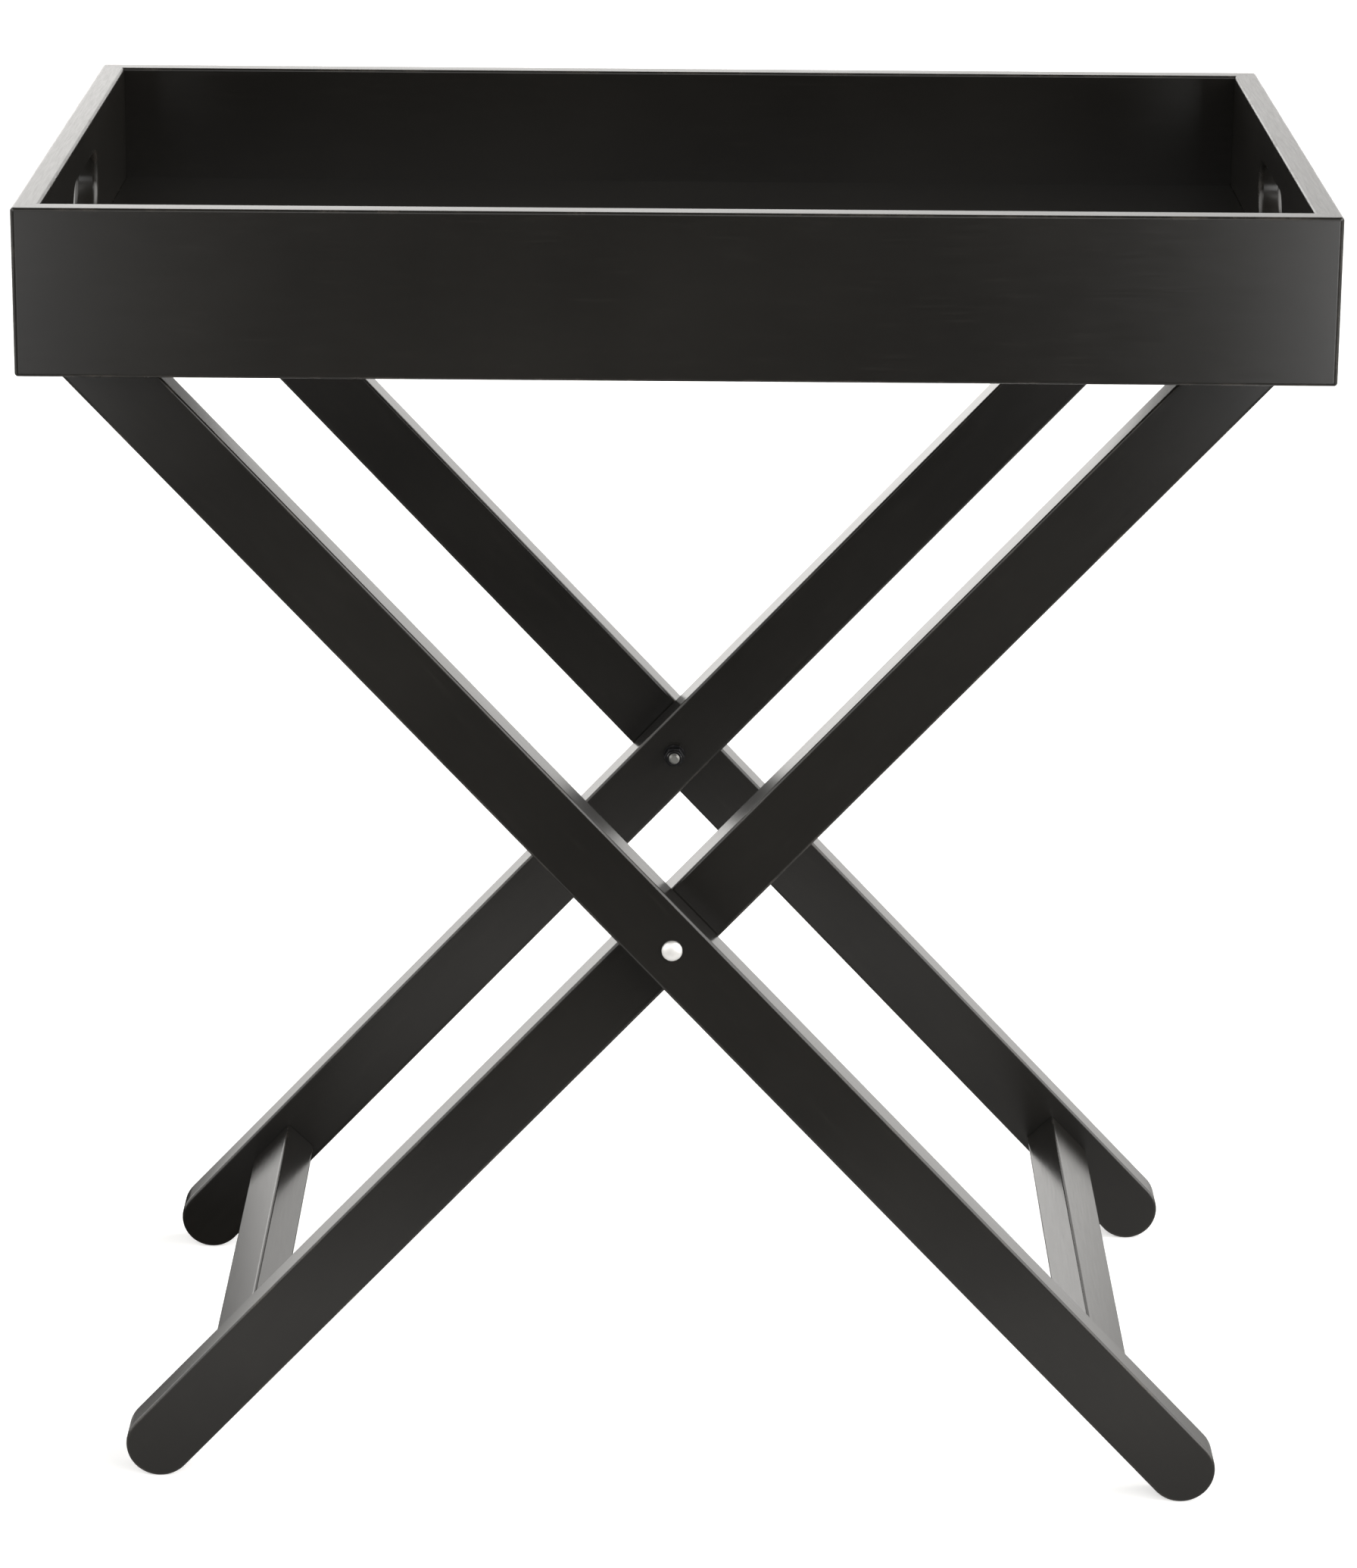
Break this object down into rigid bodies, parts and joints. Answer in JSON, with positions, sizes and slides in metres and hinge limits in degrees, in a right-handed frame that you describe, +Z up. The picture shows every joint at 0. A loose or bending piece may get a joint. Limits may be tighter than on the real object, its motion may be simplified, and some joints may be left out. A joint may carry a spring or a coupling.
{
  "type": "folding tray table",
  "caption": "Folding butler's tray table: a rectangular lift-off tray with hand holes in its ends, resting on a nested cross-legged stand that folds flat.",
  "frame": {"origin": "on the ground, under the middle of the tray", "axes": "+X along the tray's long side, +Y across it from front to back, +Z up; the outer legs lean from top -X to bottom +X"},
  "size_m": [0.64, 0.43, 0.6777],
  "materials": {
    "black_lacquer": "black satin lacquer over smooth wood",
    "bolt_steel": "polished steel",
    "nut_steel": "black oxide",
    "nylon": "black nylon",
    "dowel_beech": "bare beech"
  },
  "bodies": {
    "outer_frame": {"outer_leg_front": "black_lacquer", "outer_leg_back": "black_lacquer", "outer_stretcher": "black_lacquer", "outer_stretcher_dowel_front_low": "dowel_beech", "outer_stretcher_dowel_front_high": "dowel_beech", "outer_stretcher_dowel_back_low": "dowel_beech", "outer_stretcher_dowel_back_high": "dowel_beech", "pivot_bolt_front": "bolt_steel", "pivot_bolt_back": "bolt_steel", "spacer_washer_front": "nylon", "spacer_washer_back": "nylon", "nut_washer_front": "nut_steel", "nut_washer_back": "nut_steel", "lock_nut_front": "nut_steel", "lock_nut_back": "nut_steel"},
    "inner_frame": {"inner_leg_front": "black_lacquer", "inner_leg_back": "black_lacquer", "inner_stretcher": "black_lacquer", "inner_top_rail": "black_lacquer", "inner_stretcher_dowel_front_low": "dowel_beech", "inner_stretcher_dowel_front_high": "dowel_beech", "inner_stretcher_dowel_back_low": "dowel_beech", "inner_stretcher_dowel_back_high": "dowel_beech"},
    "tray_rail": {"outer_top_rail": "black_lacquer"},
    "tray": {"tray_floor": "black_lacquer", "tray_wall_front": "black_lacquer", "tray_wall_back": "black_lacquer", "tray_wall_left": "black_lacquer", "tray_wall_right": "black_lacquer", "corner_dowel_front_left_low": "dowel_beech", "corner_dowel_front_left_high": "dowel_beech", "corner_dowel_front_right_low": "dowel_beech", "corner_dowel_front_right_high": "dowel_beech", "corner_dowel_back_left_low": "dowel_beech", "corner_dowel_back_left_high": "dowel_beech", "corner_dowel_back_right_low": "dowel_beech", "corner_dowel_back_right_high": "dowel_beech"}
  },
  "joints": [
    {"name": "stand_fold", "type": "hinge", "parent": "outer_frame", "child": "inner_frame", "pos_m": [0, 0, 0.29929], "axis": [0, -1, 0], "range_deg": [0, 80]},
    {"name": "rail_turn", "type": "hinge", "parent": "outer_frame", "child": "tray_rail", "pos_m": [-0.28064, 0, 0.5971], "axis": [0, -1, 0], "range_deg": [0, 40]},
    {"name": "tray_lift", "type": "slide", "parent": "tray_rail", "child": "tray", "axis": [0, 0, 1], "range_m": [0, 0.25]}
  ],
  "couplings": [
    {"joint": "rail_turn", "follows": "stand_fold", "ratio": 0.5}
  ]
}
